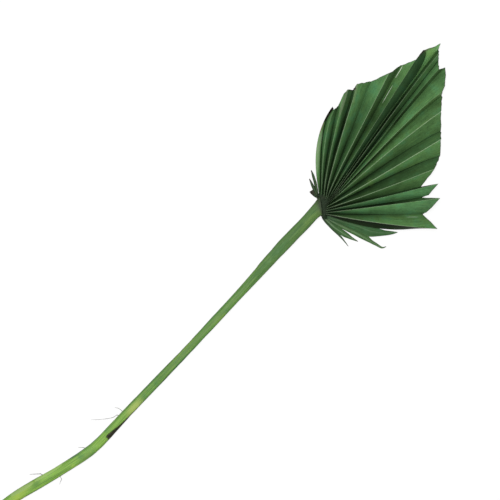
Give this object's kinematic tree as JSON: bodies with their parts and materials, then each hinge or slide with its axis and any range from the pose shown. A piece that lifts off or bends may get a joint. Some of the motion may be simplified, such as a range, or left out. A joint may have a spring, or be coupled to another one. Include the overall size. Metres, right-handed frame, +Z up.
{
  "type": "dried fan palm leaf",
  "caption": "Dried fan palm leaf trimmed to a spear: a pleated green blade fanning from a dark hastula on a long cut stalk, lying flat.",
  "frame": {"origin": "bottom centre of the bounding box, on the surface the leaf lies on", "axes": "+Y runs along the leaf from the cut end of the stalk to the tip of the blade, +Z is up from the surface, through the blade's thickness, +X is to the right seen from above"},
  "size_m": [0.162, 0.6534, 0.0288],
  "materials": {
    "leaf_blade": "satin, fine lengthwise veins",
    "leaf_strip": "satin, withered at the tips",
    "leaf_withered": "dull, dry",
    "stalk_skin": "satin, fibrous skin",
    "hastula_bark": "dull, rough",
    "fibre_dry": "dull"
  },
  "bodies": {
    "root": {"blade": "leaf_blade", "hastula": "hastula_bark", "petiole": "stalk_skin", "segment_right_1": "leaf_strip", "segment_right_2": "leaf_strip", "segment_right_3": "leaf_strip", "segment_right_4": "leaf_strip", "segment_left_1": "leaf_withered", "segment_left_2": "leaf_withered", "segment_left_3": "leaf_withered", "fibre_1": "fibre_dry", "fibre_2": "fibre_dry", "fibre_3": "fibre_dry", "fibre_4": "fibre_dry", "fibre_5": "fibre_dry"}
  },
  "joints": []
}
